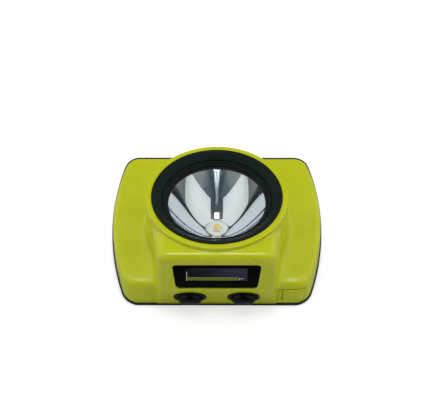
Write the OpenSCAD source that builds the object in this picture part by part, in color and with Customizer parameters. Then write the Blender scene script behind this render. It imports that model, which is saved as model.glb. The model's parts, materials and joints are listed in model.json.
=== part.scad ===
// Cordless cap lamp: a shell with two wings, a round lamp head with a deep reflector, and a display
// block with a small window and two push buttons. It lies on its back: the back face is z = 0, the
// lens faces +Z and the display faces -Y. Millimetres.

/* [Shell] */
// Width across the two wings
body_w = 79.8; // [77:0.2:83]
// Depth of the back face, from the display side to the far side
body_d = 61; // [60:0.5:63]
// Height of the wings at the display side
wing_h_near = 10.5; // [10.4:0.1:11.5]
// Height of the wings at the far side
wing_h_far = 17.8; // [17:0.1:19]
// Wall thickness of both shells
wall = 2; // [1.8:0.1:2.2]
// Radius of the near edge of the wings
edge_r = 2.5; // [2.2:0.1:3]
// Height of the parting line above the back face, at the display side
parting_near = 1; // [0.9:0.1:1.2]
// Drop from the top of the wings to the parting line, at the far side
parting_drop = 1.4; // [1.2:0.1:1.8]
// How far the rim of the rear housing stands proud of the shell
rim_lip = 0.5; // [0.3:0.1:0.7]
// Height of that rim
rim_h = 0.8; // [0.6:0.1:0.9]
// Thickness of the rear housing's back
back_t = 2; // [1.8:0.1:2.2]

/* [Lamp head] */
// Distance of the lamp's axis from the middle of the back face, towards the display
axis_offset = 5.7; // [5.5:0.1:6]
// Outer radius of the head
head_r = 26.7; // [26.5:0.1:27.2]
// Height of the head's rim
head_h = 33.1; // [33:0.1:34]
// Thickness of the head's rim
rim_t = 2.2; // [2:0.1:2.4]
// Thickness of the shelf that carries the reflector
shelf_t = 2; // [1.8:0.1:2.4]
// How far the bezel stands above the rim
bezel_proud = 0.6; // [0.5:0.1:0.8]
// Depth of the lens below the bezel's edge
lens_depth = 3.1; // [2.9:0.1:3.2]
// Radius of the lens opening
opening_r = 18.5; // [18.2:0.1:18.7]
// Thickness of the lens
lens_t = 1.5; // [1.2:0.1:1.6]
// Thickness of the lens seal
lens_seal_t = 0.4; // [0.3:0.1:0.5]
// Radius of the reflector's mouth
mouth_r = 17.8; // [17.4:0.1:17.9]
// Radius of the reflector's neck
neck_r = 4; // [3.8:0.1:4.4]
// Wall thickness of the reflector
reflector_t = 1; // [0.8:0.1:1.1]

/* [Display block] */
// Half width of the display block at its face
block_half_w = 21.8; // [21.4:0.1:22.4]
// Angle at which the block's sides spread towards the head
block_draft = 7; // [6:0.5:8]
// Height of the display block
block_h = 31.4; // [31.2:0.1:31.8]
// How far the display face stands out past the back face
block_reach = 4.3; // [4:0.1:4.6]
// Height of the fold between the button face and the display face
fold_h = 12.9; // [12.7:0.1:13.1]
// Radius of the block's top edge
block_edge_r = 3.2; // [3:0.1:3.3]
// Radius of the block's shoulders
block_shoulder_r = 6.5; // [6:0.5:7]
// Window width along its top edge
window_w_top = 32.6; // [32:0.1:33.4]
// Window width along its bottom edge
window_w_bottom = 29.9; // [29.4:0.1:30.6]
// Window height
window_h = 12.8; // [12.5:0.1:12.9]
// Gap between the fold and the window
window_gap = 1.1; // [1.1:0.1:1.3]
// How far the window lies below the face
window_inset = 0.3; // [0.2:0.1:0.5]
// Width of the window's flange
flange_w = 0.8; // [0.6:0.1:0.8]

/* [Buttons] */
// Distance of each button from the middle
button_x = 10; // [9.8:0.1:10.3]
// Distance of the button centres from the back face, along their slope
button_rise = 7.7; // [7.5:0.1:7.9]
// Radius of the rounded ends of a button
button_r = 3; // [2.8:0.1:3.1]
// Straight length between a button's rounded ends
button_straight = 3.5; // [3.2:0.1:3.8]
// How far a button stands out
button_out = 2.9; // [2.6:0.1:3]
// Travel of a button
button_travel = 1; // [0.8:0.1:1]
// Width of the ring round a button
ring_w = 0.9; // [0.8:0.1:1]

/* [Charging port] */
// Width of the port cover
cover_w = 10.4; // [10:0.1:10.5]
// Height of the port cover
cover_h = 6.2; // [6:0.1:6.2]
// Thickness of the port cover
cover_t = 1.4; // [1.3:0.1:1.5]
// Height of the cover's lower edge above the back face
cover_low = 2.8; // [2.7:0.1:2.9]
// Radius of the cover's hinge pin
pin_r = 0.5; // [0.4:0.05:0.55]

/* [Helmet clip] */
// Width of the clip
clip_w = 26; // [25:0.5:27]
// Thickness of the clip's steel
clip_t = 1; // [0.8:0.1:1.1]
// Gap behind the tongue
clip_gap = 3.3; // [3:0.1:3.5]
// Reach of the tongue past the middle
clip_reach = 26; // [24:0.5:27]

/* [Hidden] */
$fn = 64;
small_fn = 32;
// Side clearance of parts that drop into a seat
seat_gap = 0.1;
// Clearance of parts that run or swing
run_gap = 0.25;
// Radial clearance of a pin or plunger in its bore
bore_gap = 0.06;
// Overlap that lets a cut pass cleanly through a face
cut = 1;

near_y = -body_d / 2;
far_y = body_d / 2;
face_y = near_y - block_reach;
axis_y = -axis_offset;
slope_a = atan2(wing_h_far - wing_h_near, body_d);
undercut_a = atan2(block_reach, fold_h);

// Height of the wing's top and of the parting line over a point of the back face
function wing_top(y) = wing_h_near + (y - near_y) * (wing_h_far - wing_h_near) / body_d;
parting_far = wing_h_far - parting_drop;
function parting(y) = parting_near + (y - near_y) * (parting_far - parting_near) / body_d;

// ---- outlines
function arc(c, r, a0, a1, n) = [for (k = [0:n]) let(a = a0 + (a1 - a0) * k / n) c + r * [cos(a), sin(a)]];
function mirrored(pts) = [for (k = [len(pts) - 1:-1:0]) [-pts[k].x, pts[k].y]];
function direction(v) = atan2(v.y, v.x);
// A convex outline, drawn anticlockwise, with its corners rounded
function fillet(p, before, after, r, n) =
    let(u = (before - p) / norm(before - p), v = (after - p) / norm(after - p), half = acos(u * v) / 2,
        c = p + (u + v) / norm(u + v) * r / sin(half), start = direction(p + u * r / tan(half) - c))
    arc(c, r, start, start + 180 - 2 * half, n);
function rounded(pts, r, n = 4) = let(m = len(pts))
    [for (k = [0:m - 1]) each fillet(pts[k], pts[(k + m - 1) % m], pts[(k + 1) % m], r, n)];
function box_outline(w, h) = [[-w / 2, -h / 2], [w / 2, -h / 2], [w / 2, h / 2], [-w / 2, h / 2]];

// Wings: long bowed sides that run into round corners at the near and the far edge
side_r = 83;
side_c = [body_w / 2 - side_r, 0.7];
near_r = 6.6;
far_r = 5.7;
// Centre of a corner of radius r at height y, tangent to the bowed side
function corner_c(r, y) = [side_c.x + sqrt((side_r - r) ^ 2 - (y - side_c.y) ^ 2), y];
near_c = corner_c(near_r, near_y + near_r);
far_c = corner_c(far_r, far_y - far_r);
near_a = direction(near_c - side_c);
far_a = direction(far_c - side_c);
function half_outline(i) = concat(arc(far_c, far_r - i, 90, far_a, 6),
    arc(side_c, side_r - i, far_a, near_a, 12), arc(near_c, near_r - i, near_a, -90, 7));
function outline(i) = let(right = half_outline(i)) concat(right, mirrored(right));

// Display block: its sides spread from the display face back into the head
block_corner_r = 3;
block_back_y = axis_y - head_r / 3;
block_c = [block_half_w - block_corner_r, face_y + block_corner_r];
function block_side_x(y) = block_half_w + (y - block_c.y) * tan(block_draft);
function block_outline(i) = let(right = concat([[block_side_x(block_back_y) - i, block_back_y]],
    arc(block_c, block_corner_r - i, 0, -90, 5))) concat(right, mirrored(right));

// The block seen from the display side, as [x, z]
function shoulder_outline(i, z0, top) = let(w = block_side_x(block_back_y) - i, r = block_shoulder_r - i,
    right = concat([[w, z0]], arc([w - r, top - r], r, 0, 90, 8))) concat(right, mirrored(right));

// Side outlines, as [y, z]
function wing_profile(i, z0) = let(r = max(edge_r - i, 0.3), cy = near_y + i + r,
    cz = wing_top(cy) - i - r / cos(slope_a))
    concat([[near_y + i, z0], [far_y - i, z0], [far_y - i, wing_top(far_y - i) - i]],
        arc([cy, cz], r, 90 + slope_a, 180, 5));
function block_profile(i, z0, top) = let(r = max(block_edge_r - i, 0.5), back = i / cos(undercut_a),
    foot = near_y + back - z0 * tan(undercut_a),
    fold = fold_h + i * (1 / cos(undercut_a) - 1) / tan(undercut_a))
    concat([[foot, z0], [axis_y + head_r, z0], [axis_y + head_r, top]],
        arc([face_y + i + r, top - r], r, 90, 180, 5), [[face_y + i, fold]]);

module side_prism(w, pts) {
    rotate([90, 0, 90]) translate([0, 0, -w / 2]) linear_extrude(w) polygon(pts);
}
module wings(i, z0) {
    intersection() {
        translate([0, 0, z0]) linear_extrude(wing_h_far + cut) polygon(outline(i));
        side_prism(body_w + 2 * cut, wing_profile(i, z0));
    }
}
module head_and_block(i, z0, top) {
    intersection() {
        union() {
            translate([0, axis_y, z0]) cylinder(r = head_r - i, h = top + cut);
            intersection() {
                translate([0, 0, z0]) linear_extrude(top + cut) polygon(block_outline(i));
                facing_front(axis_y, head_r + body_d) polygon(shoulder_outline(i, z0 - cut, top));
            }
        }
        side_prism(2 * head_r + 2 * cut, block_profile(i, z0, top));
    }
}
// Everything between two heights above the parting line
module parting_band(low, high) {
    y0 = face_y - cut;
    y1 = far_y + cut;
    side_prism(body_w + 4 * cut, [[y0, parting(y0) + low], [y1, parting(y1) + low],
        [y1, parting(y1) + high], [y0, parting(y0) + high]]);
}
// Plate that faces the display side, with its back at y_back
module facing_front(y_back, t) {
    translate([0, y_back, 0]) rotate([90, 0, 0]) linear_extrude(t) children();
}
// Frame on the button face: +Y up the slope, +Z outwards, at the centre of a button
module on_button_face(x) {
    translate([x, near_y, 0]) rotate([90 + undercut_a, 0, 0]) translate([0, button_rise, 0]) children();
}
module stadium(r, straight, h) {
    linear_extrude(h) polygon(concat(arc([straight / 2, 0], r, -90, 90, 12),
        arc([-straight / 2, 0], r, 90, 270, 12)));
}
// A small round post, or the cutter of a hole
module post(at, r, h) {
    translate(at) cylinder(r = r, h = h, $fn = small_fn);
}
module box(size, at) {
    translate(at - [size.x / 2, size.y / 2, 0]) cube(size);
}
module wire(points, r) {
    for (k = [0:len(points) - 2]) {
        step = points[k + 1] - points[k];
        translate(points[k]) rotate([0, acos(step.z / norm(step)), atan2(step.y, step.x)])
            cylinder(r = r, h = norm(step), $fn = 16);
        if (k > 0) translate(points[k]) sphere(r = r, $fn = 16);
    }
}

// ---- heights in the lamp head
bezel_r = head_r - rim_t;
bezel_top = head_h + bezel_proud;
bezel_lip = 0.3;
lens_top = bezel_top - lens_depth - bezel_lip;
lens_z = lens_top - lens_t;
flange_t = 1;
flange_r = opening_r + 4;
seat_z = lens_z - lens_seal_t - flange_t;
lens_r = opening_r + 2;
cell_h = 6.8;
pad_t = 0.6;
sink_gap = 0.5;
sink_t = 3;
sink_r = 13;
sink_top = back_t + pad_t + cell_h + sink_gap + sink_t;
led_board_t = 1.6;
led_board_r = 8;
led_board_top = sink_top + led_board_t;
collar_h = 0.9;
bowl_z = led_board_top + collar_h;
bowl_h = seat_z + flange_t - bowl_z;
roof_z = seat_z - shelf_t;
reflector_bore_r = mouth_r + reflector_t + 0.5;
sink_post_x = 20.4;
sink_arm_w = 8;
post_r = 2.4;

// ---- places of the fasteners
screw_r = 1.25;
screw_head_r = 2.3;
screw_head_h = 1.4;
screw_edge = 5.2;
case_screw_near = [body_w / 2 - 20.3, near_y + screw_edge];
case_screw_far = [body_w / 2 - 17.7, far_y - screw_edge];
split_near = 3.6;
split_far = 9;
boss_r = 2.7;
thread_depth = 6;
sink_screw_depth = 6;

// ---- helmet clip and its recess
recess_w = clip_w + 1.6;
recess_z = clip_t + clip_gap;
recess_near = near_y + 10;
clip_screw_x = 8;
clip_screw_y = recess_near + 6.4;
clip_screw_depth = 1.7;

// ---- port
port_x = body_w / 2 - 6.8 - cover_w / 2;
cover_left = port_x - cover_w / 2;
hinge_x = cover_left + cover_t / 2 + 0.2;
knuckle_r = cover_t / 2 + 0.2;
hinge_y = near_y + knuckle_r;
cover_top = cover_low + cover_h;
socket_w = 7.6;
socket_h = 2.8;
socket_l = 5.4;
socket_z = cover_low + cover_h / 2;
socket_x = hinge_x + knuckle_r + run_gap + 0.3 + socket_w / 2;
port_back_y = near_y + 3.4;
charge_board_t = 1;

// ---- display
window_low = fold_h + window_gap;
window_high = window_low + window_h;
window_front = face_y + window_inset;
window_seal_t = 0.3;
flange_front = face_y + wall + window_seal_t;
window_flange_t = 1;
panel_front = flange_front + window_flange_t + 0.1;
panel_w = 30;
panel_h = 11;
panel_mid = roof_z - 0.1 - panel_h / 2;
panel_t = 1.5;
oled_board_t = 1.2;
oled_board_front = panel_front + panel_t;
window_corner_r = 1.5;
// The window's outline, grown all round, as [x, z]
function window_outline(grow) = rounded([[-window_w_bottom / 2 - grow, window_low - grow],
    [window_w_bottom / 2 + grow, window_low - grow], [window_w_top / 2 + grow, window_high + grow],
    [-window_w_top / 2 - grow, window_high + grow]], window_corner_r + max(grow, 0));

// ---- buttons and switches, by depth below the button face
ring_seat = 0.8;
cap_flange_t = 0.7;
cap_flange_depth = wall + run_gap;
stem_r = 1.6;
plunger_r = 1.75;
plunger_depth = cap_flange_depth + cap_flange_t + 0.5;
switch_gap = 0.2;
switch_depth = plunger_depth + button_travel + switch_gap;
plunger_in = 1.1;
switch_h = 3;
switch_floor = 0.4;
switch_board_t = 1.2;
board_post_r = 1.5;
board_post_y = 2.6;

// ---- boards and cells
board_post_h = 1.3;
board_z = recess_z + back_t + board_post_h;
board_t = 1.6;
board_w = 28;
board_near = recess_near + 0.2;
board_far = far_y - 10.5;
board_post_in = 2.4;
main_post_r = 1.8;
cell_in = recess_w / 2 + wall + 1;
cell_w = body_w / 2 - wall - cell_in - 5.1;
cell_x = cell_in + cell_w / 2;
cell_near = near_y + 10.6;
cell_far = far_y - 9;
cell_corner_r = 1.5;
lead_r = 0.5;
lead_lift = 0.2;

// ---- the two shells
module front_shell() {
    color("yellowgreen") difference() {
        union() {
            intersection() {
                union() {
                    wings(0, 0);
                    head_and_block(0, 0, block_h);
                }
                parting_band(0, head_h);
            }
            translate([0, axis_y, roof_z]) cylinder(r = head_r, h = head_h - roof_z);
        }
        difference() {
            union() {
                wings(wall, -cut);
                head_and_block(wall, -cut, roof_z);
                window_pocket();
            }
            for (side = [-1, 1]) {
                case_post(side, case_screw_near, split_near);
                case_post(side, case_screw_far, split_far);
                post([side * sink_post_x, axis_y, sink_top], post_r, head_h - sink_top);
            }
            port_backing();
            on_button_face(0) for (y = [-board_post_y, board_post_y])
                post([0, y, -switch_depth - switch_h], board_post_r, switch_depth + switch_h);
        }
        translate([0, axis_y, seat_z]) cylinder(r = bezel_r + seat_gap, h = head_h);
        translate([0, axis_y, roof_z - cut]) cylinder(r = reflector_bore_r, h = head_h);
        case_seal_ring();
        for (side = [-1, 1]) {
            screw_hole(side, case_screw_near, split_near);
            screw_hole(side, case_screw_far, split_far);
            post([side * sink_post_x, axis_y, sink_top - cut], screw_r, sink_screw_depth + cut);
            on_button_face(side * button_x) button_opening();
        }
        facing_front(face_y + wall + cut, wall + 2 * cut) polygon(window_outline(seat_gap));
        port_opening();
    }
}
module case_post(side, at, z) {
    post([side * at.x, at.y, z], boss_r, head_h);
}
module screw_hole(side, at, z) {
    post([side * at.x, at.y, z - cut], screw_r, thread_depth + cut);
}
module button_opening() {
    ring_out = button_r + run_gap + ring_w;
    translate([0, 0, -wall - cut]) stadium(button_r + run_gap, button_straight, wall + 2 * cut);
    translate([0, 0, -ring_seat]) stadium(ring_out + seat_gap, button_straight, ring_seat + cut);
}
// Room behind the display face for the window's flange, in front of the bezel's seat
module window_pocket() {
    pocket_w = window_w_top + 2 * flange_w + 0.8;
    box([pocket_w, window_flange_t + window_seal_t + run_gap, window_high + flange_w + run_gap - roof_z + cut],
        [0, face_y + wall + (window_flange_t + window_seal_t + run_gap) / 2, roof_z - cut]);
}
// Block inside the wing's near wall that the cover closes against and the socket sits in
module port_backing() {
    margin = 0.9;
    translate([cover_left - wall, near_y, cover_low - margin])
        cube([cover_w + 2 * wall, port_back_y - near_y, cover_h + 2 * margin]);
}
module port_opening() {
    low = cover_low - run_gap;
    high = cover_h + 2 * run_gap;
    left = hinge_x - knuckle_r - run_gap;
    translate([left, near_y - cut, low]) cube([cover_w + cut, cut + knuckle_r, high]);
    intersection() {
        translate([left, near_y - cut, low]) cube([cover_w + 2 * run_gap, cut + port_back_y - near_y, high]);
        difference() {
            translate([0, 0, low]) linear_extrude(high) polygon(outline(-cut));
            wings(cover_t + run_gap, -cut);
        }
    }
    post([hinge_x, hinge_y, low], knuckle_r + run_gap, high);
    hinge_pin();
    translate([socket_x - socket_w / 2 - seat_gap, near_y - cut, socket_z - socket_h / 2 - seat_gap])
        cube([socket_w + 2 * seat_gap, port_back_y - near_y + socket_l + 2 * cut, socket_h + 2 * seat_gap]);
}

module rear_housing() {
    color("darkslategray") difference() {
        union() {
            difference() {
                union() {
                    intersection() {
                        linear_extrude(wing_h_far) polygon(outline(0));
                        parting_band(-head_h, 0);
                    }
                    intersection() {
                        linear_extrude(wing_h_far) polygon(outline(-rim_lip));
                        parting_band(-rim_h, 0);
                    }
                }
                wings(wall, back_t);
            }
            translate([-recess_w / 2 - wall, recess_near - wall, 0])
                cube([recess_w + 2 * wall, far_y - recess_near, recess_z + back_t]);
            for (side = [-1, 1]) {
                post([side * case_screw_near.x, case_screw_near.y, 0], boss_r, split_near);
                post([side * case_screw_far.x, case_screw_far.y, 0], boss_r, split_far);
                for (y = [board_near + board_post_in, board_far - board_post_in])
                    post([side * (board_w / 2 - board_post_in), y, recess_z], main_post_r, board_z - recess_z);
            }
        }
        translate([-recess_w / 2, recess_near, -cut]) cube([recess_w, body_d, recess_z + cut]);
        for (side = [-1, 1]) {
            for (at = [case_screw_near, case_screw_far]) {
                post([side * at.x, at.y, -cut], screw_r + seat_gap, split_far + 2 * cut);
                post([side * at.x, at.y, -cut], screw_head_r + seat_gap, screw_head_h + cut);
            }
            post([side * clip_screw_x, clip_screw_y, recess_z - cut], screw_r, cut + clip_screw_depth);
        }
        case_seal_ring();
    }
}
// The seal lies in a groove shared by both shells, along the parting line
module case_seal_ring() {
    seal_in = 0.7;
    seal_w = 0.6;
    seal_t = 0.8;
    intersection() {
        difference() {
            linear_extrude(head_h) polygon(outline(seal_in));
            translate([0, 0, -cut]) linear_extrude(head_h + 2 * cut) polygon(outline(seal_in + seal_w));
        }
        parting_band(-seal_t / 2, seal_t / 2);
    }
}
module case_seal() {
    color("dimgray") case_seal_ring();
}

// Pan-head screw, head down, its head's top face at z = 0
module pan_screw(length) {
    drive = [2.6, 0.6, 0.7];
    cylinder(r = screw_r, h = length, $fn = small_fn);
    translate([0, 0, -screw_head_h]) difference() {
        cylinder(r = screw_head_r, h = screw_head_h, $fn = small_fn);
        for (a = [0, 90]) rotate([0, 0, a]) box(drive + [0, 0, cut], [0, 0, -cut]);
    }
}
module case_screws() {
    color("silver") for (side = [-1, 1]) {
        translate([side * case_screw_near.x, case_screw_near.y, screw_head_h])
            pan_screw(split_near + thread_depth - 1 - screw_head_h);
        translate([side * case_screw_far.x, case_screw_far.y, screw_head_h])
            pan_screw(split_far + thread_depth - 1 - screw_head_h);
    }
}

// ---- lamp head
module bezel_ring() {
    edge = 0.3;
    inner_edge = bezel_top - lens_depth;
    color("#1b2526") translate([0, axis_y, 0]) rotate_extrude() polygon([
        [flange_r + seat_gap, seat_z], [bezel_r, seat_z], [bezel_r, bezel_top - edge],
        [bezel_r - edge, bezel_top], [bezel_r - 3 * edge, bezel_top],
        [opening_r + edge, inner_edge], [opening_r, inner_edge - edge / 2],
        [opening_r, lens_top], [lens_r + seat_gap, lens_top], [lens_r + seat_gap, lens_z - lens_seal_t],
        [flange_r + seat_gap, lens_z - lens_seal_t]]);
}
module lens() {
    color("lightcyan", 0.4) translate([0, axis_y, lens_z]) cylinder(r = lens_r, h = lens_top - lens_z);
}
module lens_seal() {
    color("black") translate([0, axis_y, lens_z - lens_seal_t]) difference() {
        cylinder(r = lens_r, h = lens_seal_t);
        translate([0, 0, -cut]) cylinder(r = mouth_r + 0.4, h = lens_seal_t + 2 * cut);
    }
}
// The reflecting bowl follows a parabola from the neck to the mouth
function bowl_point(k, n, out) = let(r = neck_r + (mouth_r - neck_r) * k / n)
    [r + out, bowl_z + bowl_h * (r * r - neck_r * neck_r) / (mouth_r * mouth_r - neck_r * neck_r)];
module reflector() {
    steps = 12;
    color("gainsboro") translate([0, axis_y, 0]) rotate_extrude() polygon(concat(
        [[neck_r, bowl_z - collar_h], [neck_r, bowl_z]], [for (k = [1:steps]) bowl_point(k, steps, 0)],
        [[flange_r, seat_z + flange_t], [flange_r, seat_z], [mouth_r + reflector_t * 1.3, seat_z]],
        [for (k = [steps - 1:-1:0]) bowl_point(k, steps, reflector_t * 1.4)],
        [[neck_r + reflector_t * 1.4, bowl_z - collar_h]]));
}
led_base_w = 3.45;
led_base_t = 0.7;
module led_base() {
    color("ivory") box([led_base_w, led_base_w, led_base_t], [0, axis_y, led_board_top]);
}
module led_dome() {
    dome_r = 1.5;
    color("khaki") translate([0, axis_y, led_board_top + led_base_t]) intersection() {
        sphere(r = dome_r, $fn = small_fn);
        cylinder(r = dome_r + cut, h = dome_r + cut);
    }
}
module led_board() {
    color("whitesmoke") translate([0, axis_y, sink_top]) cylinder(r = led_board_r, h = led_board_t);
}
module heat_sink() {
    color("silver") translate([0, axis_y, sink_top - sink_t]) difference() {
        union() {
            cylinder(r = sink_r, h = sink_t);
            box([2 * sink_post_x + 2 * post_r, sink_arm_w, sink_t], [0, 0, 0]);
        }
        for (side = [-1, 1]) {
            post([side * sink_post_x, 0, -cut], screw_r + seat_gap, sink_t + 2 * cut);
            post([side * sink_post_x, 0, -cut], screw_head_r + seat_gap, screw_head_h + cut);
        }
    }
}
module heat_sink_screws() {
    color("silver") for (side = [-1, 1])
        translate([side * sink_post_x, axis_y, sink_top - sink_t + screw_head_h])
            pan_screw(sink_t - screw_head_h + sink_screw_depth - 1);
}

// ---- display
module display_window() {
    color("#181c24") union() {
        facing_front(flange_front, flange_front - window_front) polygon(window_outline(0));
        facing_front(flange_front + window_flange_t, window_flange_t) polygon(window_outline(flange_w));
    }
}
module window_seal() {
    color("black") difference() {
        facing_front(flange_front, window_seal_t) polygon(window_outline(flange_w));
        facing_front(flange_front + cut, window_seal_t + 2 * cut) polygon(window_outline(seat_gap));
    }
}
module oled_panel() {
    color("midnightblue") translate([0, 0, panel_mid]) facing_front(panel_front + panel_t, panel_t)
        square([panel_w, panel_h], center = true);
}
module oled_board() {
    color("darkblue") translate([0, 0, panel_mid]) facing_front(oled_board_front + oled_board_t, oled_board_t)
        polygon(rounded(box_outline(panel_w + 2, panel_h), 1));
}
module display_ribbon() {
    ribbon_w = 8;
    ribbon_t = 0.3;
    top = panel_mid + 2;
    back = oled_board_front + oled_board_t;
    drop = board_near + 0.3;
    color("peru") side_prism(ribbon_w, [[back, top], [back, top - ribbon_t], [drop, board_z + board_t + 0.6],
        [drop, board_z + board_t], [drop + 1, board_z + board_t], [drop + 1, board_z + board_t + ribbon_t],
        [drop + ribbon_t, board_z + board_t + ribbon_t],
        [drop + ribbon_t, board_z + board_t + 0.7 + ribbon_t]]);
}

// ---- buttons and switches
module button_rings() {
    ring_h = ring_seat + 0.6;
    color("#14181a") for (side = [-1, 1]) on_button_face(side * button_x) translate([0, 0, -ring_seat])
        difference() {
            stadium(button_r + run_gap + ring_w, button_straight, ring_h);
            translate([0, 0, -cut]) stadium(button_r + run_gap, button_straight, ring_h + 2 * cut);
        }
}
// Half outline of the button's domed top, as [distance from the middle, height]
function dome_outline(r, h) = let(crown = h * 0.72, side = r * 0.92)
    concat([[0, -cap_flange_depth], [r, -cap_flange_depth]],
        [for (k = [0:5]) let(a = 90 * k / 5) [r - side + side * cos(a), h - crown + crown * sin(a)]], [[0, h]]);
module button(x) {
    flange_grow = 0.9;
    half = dome_outline(button_r, button_out);
    color("#101416") on_button_face(x) {
        for (side = [-1, 1]) translate([side * button_straight / 2, 0, 0])
            rotate_extrude($fn = 48) polygon(half);
        rotate([90, 0, 90]) translate([0, 0, -button_straight / 2]) linear_extrude(button_straight)
            polygon(concat(half, [for (k = [len(half) - 2:-1:1]) [-half[k].x, half[k].y]]));
        translate([0, 0, -cap_flange_depth - cap_flange_t])
            stadium(button_r + flange_grow, button_straight, cap_flange_t);
        post([0, 0, -plunger_depth], stem_r, plunger_depth - cap_flange_depth);
    }
}
module button_left() { button(-button_x); }
module button_right() { button(button_x); }
module plunger(x) {
    color("black") on_button_face(x)
        post([0, 0, -switch_depth - plunger_in], plunger_r, switch_depth + plunger_in - plunger_depth);
}
module plunger_left() { plunger(-button_x); }
module plunger_right() { plunger(button_x); }
module tact_switches() {
    switch_w = 6;
    color("gray") for (side = [-1, 1]) on_button_face(side * button_x)
        translate([0, 0, -switch_depth - switch_h]) difference() {
            box([switch_w, switch_w, switch_h], [0, 0, 0]);
            post([0, 0, switch_floor], plunger_r + bore_gap, switch_h + cut);
        }
}
module switch_board() {
    color("darkgreen") on_button_face(0) translate([0, 0, -switch_depth - switch_h - switch_board_t])
        linear_extrude(switch_board_t) polygon(rounded(box_outline(2 * button_x + 11, 9), 1));
}

// ---- power and electronics
module main_board() {
    color("darkgreen") box([board_w, board_far - board_near, board_t],
        [0, (board_far + board_near) / 2, board_z]);
}
module board_components() {
    top = board_z + board_t;
    x = board_w / 4;
    chip = [7, 5, 1.2];
    regulator = [5, 3, 1.4];
    header = [9, 3, 1];
    coil_r = 3;
    coil_h = 2;
    edge = 1.5;
    color("#222222") {
        box(chip, [-x, board_far - edge - chip.y / 2, top]);
        box(regulator, [x, board_far - edge - regulator.y / 2, top]);
        post([x, board_far - 2 * edge - regulator.y - coil_r, top], coil_r, coil_h);
        box(header, [-x, board_far - 2 * edge - chip.y - header.y / 2, top]);
    }
}
module cell(side) {
    color("royalblue") translate([side * cell_x, (cell_near + cell_far) / 2, back_t + pad_t])
        linear_extrude(cell_h) polygon(rounded(box_outline(cell_w, cell_far - cell_near), cell_corner_r));
}
module battery_left() { cell(-1); }
module battery_right() { cell(1); }
module battery_pads() {
    color("white") for (side = [-1, 1]) box([cell_w - 2 * cell_corner_r, cell_far - cell_near - 4, pad_t],
        [side * cell_x, (cell_near + cell_far) / 2, back_t]);
}
// Pairs of leads from the cells over the edge of the main board
module battery_leads() {
    color("firebrick") for (side = [-1, 1], y = [cell_far - 6, cell_far - 8])
        wire([[side * (cell_in + 4), y, back_t + pad_t + cell_h + lead_r + lead_lift],
            [side * (board_w / 2 - 2), y, board_z + board_t + lead_r + lead_lift]], lead_r);
}
// Two leads from the LED board down to the main board, past the edge of the heat sink
module led_leads() {
    lead_y = axis_y + sink_r + 1;
    lead_z = led_board_top - led_board_t / 2;
    color("firebrick") for (x = [-2, 2])
        wire([[x, axis_y + led_board_r, lead_z], [x, lead_y, lead_z], [x, lead_y, board_z + board_t]], lead_r);
}
module charge_board() {
    board_l = socket_l + 1.2;
    color("darkgreen") box([socket_w - 1.6, board_l, charge_board_t],
        [socket_x, port_back_y + board_l / 2, socket_z - socket_h / 2 - charge_board_t]);
}
module charge_socket() {
    shell_t = 0.35;
    color("silver") difference() {
        box([socket_w, socket_l, socket_h], [socket_x, port_back_y + socket_l / 2, socket_z - socket_h / 2]);
        box([socket_w - 2 * shell_t, socket_l, socket_h - 2 * shell_t],
            [socket_x, port_back_y + socket_l / 2 - 1, socket_z - socket_h / 2 + shell_t]);
    }
}
module port_cover() {
    color("yellowgreen") difference() {
        union() {
            intersection() {
                translate([hinge_x, near_y - cut, cover_low])
                    cube([cover_left + cover_w - hinge_x, port_back_y - near_y, cover_h]);
                difference() {
                    wings(0, 0);
                    wings(cover_t, -cut);
                }
            }
            post([hinge_x, hinge_y, cover_low], knuckle_r, cover_h);
        }
        post([hinge_x, hinge_y, cover_low - cut], pin_r + bore_gap, cover_h + 2 * cut);
    }
}
module hinge_pin() {
    pin_in = 0.7;
    post([hinge_x, hinge_y, cover_low - pin_in], pin_r, cover_h + 2 * pin_in);
}
module port_cover_pin() {
    color("silver") hinge_pin();
}

// ---- helmet clip, a bent spring-steel strip: foot on the recess's floor, tongue flush with the back
module helmet_clip() {
    foot_near = recess_near + 0.5;
    foot_far = clip_screw_y + 4.6;
    bend = 4;
    lip = 3;
    lip_rise = 0.9;
    color("lightgray") difference() {
        side_prism(clip_w, [[foot_near, recess_z - clip_t], [foot_far, recess_z - clip_t], [foot_far + bend, 0],
            [clip_reach - lip, 0], [clip_reach, lip_rise], [clip_reach - 0.2, lip_rise + clip_t],
            [clip_reach - lip - 0.2, clip_t], [foot_far + bend + 0.4, clip_t], [foot_far + 0.4, recess_z],
            [foot_near, recess_z]]);
        for (side = [-1, 1])
            post([side * clip_screw_x, clip_screw_y, -cut], screw_r + seat_gap, recess_z + 2 * cut);
    }
}
module clip_screws() {
    color("silver") for (side = [-1, 1])
        translate([side * clip_screw_x, clip_screw_y, recess_z - clip_t]) pan_screw(clip_t + clip_screw_depth);
}

front_shell();
rear_housing();
case_seal();
case_screws();
bezel_ring();
lens();
lens_seal();
reflector();
led_base();
led_dome();
led_board();
heat_sink();
heat_sink_screws();
display_window();
window_seal();
oled_panel();
oled_board();
display_ribbon();
button_rings();
button_left();
button_right();
plunger_left();
plunger_right();
tact_switches();
switch_board();
main_board();
board_components();
battery_left();
battery_right();
battery_pads();
battery_leads();
led_leads();
charge_board();
charge_socket();
port_cover();
port_cover_pin();
helmet_clip();
clip_screws();
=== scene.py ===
"""Cordless miner's cap lamp: the finished look of each piece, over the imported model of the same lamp.

Everything is in metres and in the model's own frame: the back face is z = 0, the lens faces +Z and
the display faces -Y.
"""
import json
import math

import bpy
from mathutils import Matrix, Vector


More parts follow.
